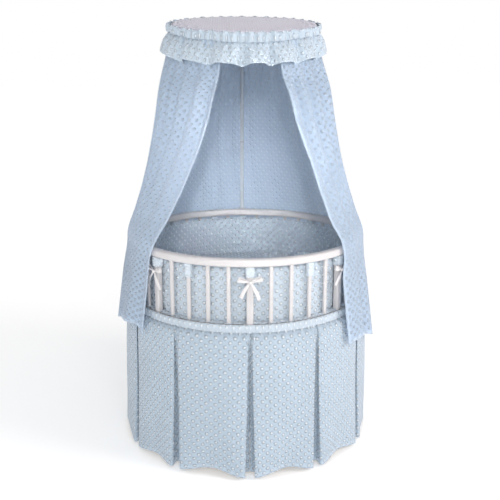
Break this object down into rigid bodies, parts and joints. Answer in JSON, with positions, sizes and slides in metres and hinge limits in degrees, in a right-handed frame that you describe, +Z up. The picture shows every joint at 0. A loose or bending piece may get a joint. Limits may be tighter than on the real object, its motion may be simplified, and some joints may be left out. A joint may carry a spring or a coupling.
{
  "type": "baby crib",
  "caption": "Round slatted bassinet on casters with a padded bumper, pleated skirt, and a post-held canopy with gathered ruffle and drapes.",
  "frame": {"origin": "on the floor under the middle of the round basket", "axes": "+Z up; the front, open between the drapes, faces -Y; the canopy post stands at the back, +Y; +X is to the right seen from the front"},
  "size_m": [0.7918, 0.7993, 1.3105],
  "materials": {
    "white_paint": "white semi-gloss paint over wood, softly rounded edges",
    "board": "bare plywood",
    "steel": "zinc-plated steel",
    "nylon": "white moulded nylon",
    "tread": "grey rubber tread on a nylon hub",
    "painted_tube": "white powder-coated steel tube",
    "dotted_fabric": "pale blue plush with raised dots in staggered rows",
    "plain_fabric": "the same plush, stretched or rolled so that its dots lie close",
    "ribbon": "white satin ribbon",
    "foam": "mattress foam in white ticking"
  },
  "bodies": {
    "stand": {"top_rail": "white_paint", "lower_ring": "white_paint", "mattress_board": "board", "storage_shelf": "board", "bumper": "dotted_fabric", "waist_band": "plain_fabric", "skirt": "dotted_fabric", "socket_upper": "white_paint", "socket_lower": "white_paint", "post_front": "white_paint", "post_front_right": "white_paint", "post_right": "white_paint", "post_back_right": "white_paint", "post_back": "white_paint", "post_back_left": "white_paint", "post_left": "white_paint", "post_front_left": "white_paint", "slat_panel_1": "white_paint", "slat_panel_2": "white_paint", "slat_panel_3": "white_paint", "slat_panel_4": "white_paint", "slat_panel_5": "white_paint", "slat_panel_6": "white_paint", "slat_panel_7": "white_paint", "slat_panel_8": "white_paint", "leg_front_right": "white_paint", "leg_back_right": "white_paint", "leg_back_left": "white_paint", "leg_front_left": "white_paint", "leg_bolt_front_right": "steel", "leg_bolt_back_right": "steel", "leg_bolt_back_left": "steel", "leg_bolt_front_left": "steel"},
    "canopy": {"canopy_post_lower": "painted_tube", "canopy_post_ferrule": "steel", "canopy_post_upper": "painted_tube", "hoop_clamp": "white_paint", "canopy_hoop": "painted_tube", "canopy_cover": "plain_fabric", "canopy_ruffle": "dotted_fabric", "canopy_drape": "dotted_fabric"},
    "mattress": {"mattress_pad": "foam", "fitted_sheet": "dotted_fabric"},
    "caster_front_right": {"caster_fork_front_right": "nylon", "caster_axle_front_right": "steel"},
    "wheel_front_right": {"caster_wheel_front_right": "tread"},
    "brake_front_right": {"brake_lever_front_right": "nylon"},
    "caster_back_right": {"caster_fork_back_right": "nylon", "caster_axle_back_right": "steel"},
    "wheel_back_right": {"caster_wheel_back_right": "tread"},
    "caster_back_left": {"caster_fork_back_left": "nylon", "caster_axle_back_left": "steel"},
    "wheel_back_left": {"caster_wheel_back_left": "tread"},
    "caster_front_left": {"caster_fork_front_left": "nylon", "caster_axle_front_left": "steel"},
    "wheel_front_left": {"caster_wheel_front_left": "tread"},
    "brake_front_left": {"brake_lever_front_left": "nylon"}
  },
  "joints": [
    {"name": "canopy_lift", "type": "slide", "parent": "stand", "child": "canopy", "axis": [0, 0, 1], "range_m": [0, 0.2]},
    {"name": "mattress_lift", "type": "slide", "parent": "stand", "child": "mattress", "axis": [0, 0, 1], "range_m": [0, 0.15]},
    {"name": "caster_swivel_front_right", "type": "hinge", "parent": "stand", "child": "caster_front_right", "pos_m": [0.21875, -0.21875, 0.06], "axis": [0, 0, 1], "continuous": true},
    {"name": "wheel_roll_front_right", "type": "hinge", "parent": "caster_front_right", "child": "wheel_front_right", "pos_m": [0.20602, -0.20602, 0.022], "axis": [0.7071, 0.7071, 0], "continuous": true},
    {"name": "brake_press_front_right", "type": "hinge", "parent": "caster_front_right", "child": "brake_front_right", "pos_m": [0.19471, -0.19471, 0.051], "axis": [0.7071, 0.7071, 0], "range_deg": [-18, 0]},
    {"name": "caster_swivel_back_right", "type": "hinge", "parent": "stand", "child": "caster_back_right", "pos_m": [0.21875, 0.21875, 0.06], "axis": [0, 0, 1], "continuous": true},
    {"name": "wheel_roll_back_right", "type": "hinge", "parent": "caster_back_right", "child": "wheel_back_right", "pos_m": [0.20602, 0.20602, 0.022], "axis": [-0.7071, 0.7071, 0], "continuous": true},
    {"name": "caster_swivel_back_left", "type": "hinge", "parent": "stand", "child": "caster_back_left", "pos_m": [-0.21875, 0.21875, 0.06], "axis": [0, 0, 1], "continuous": true},
    {"name": "wheel_roll_back_left", "type": "hinge", "parent": "caster_back_left", "child": "wheel_back_left", "pos_m": [-0.20602, 0.20602, 0.022], "axis": [-0.7071, -0.7071, 0], "continuous": true},
    {"name": "caster_swivel_front_left", "type": "hinge", "parent": "stand", "child": "caster_front_left", "pos_m": [-0.21875, -0.21875, 0.06], "axis": [0, 0, 1], "continuous": true},
    {"name": "wheel_roll_front_left", "type": "hinge", "parent": "caster_front_left", "child": "wheel_front_left", "pos_m": [-0.20602, -0.20602, 0.022], "axis": [0.7071, -0.7071, 0], "continuous": true},
    {"name": "brake_press_front_left", "type": "hinge", "parent": "caster_front_left", "child": "brake_front_left", "pos_m": [-0.19471, -0.19471, 0.051], "axis": [0.7071, -0.7071, 0], "range_deg": [-18, 0]}
  ]
}
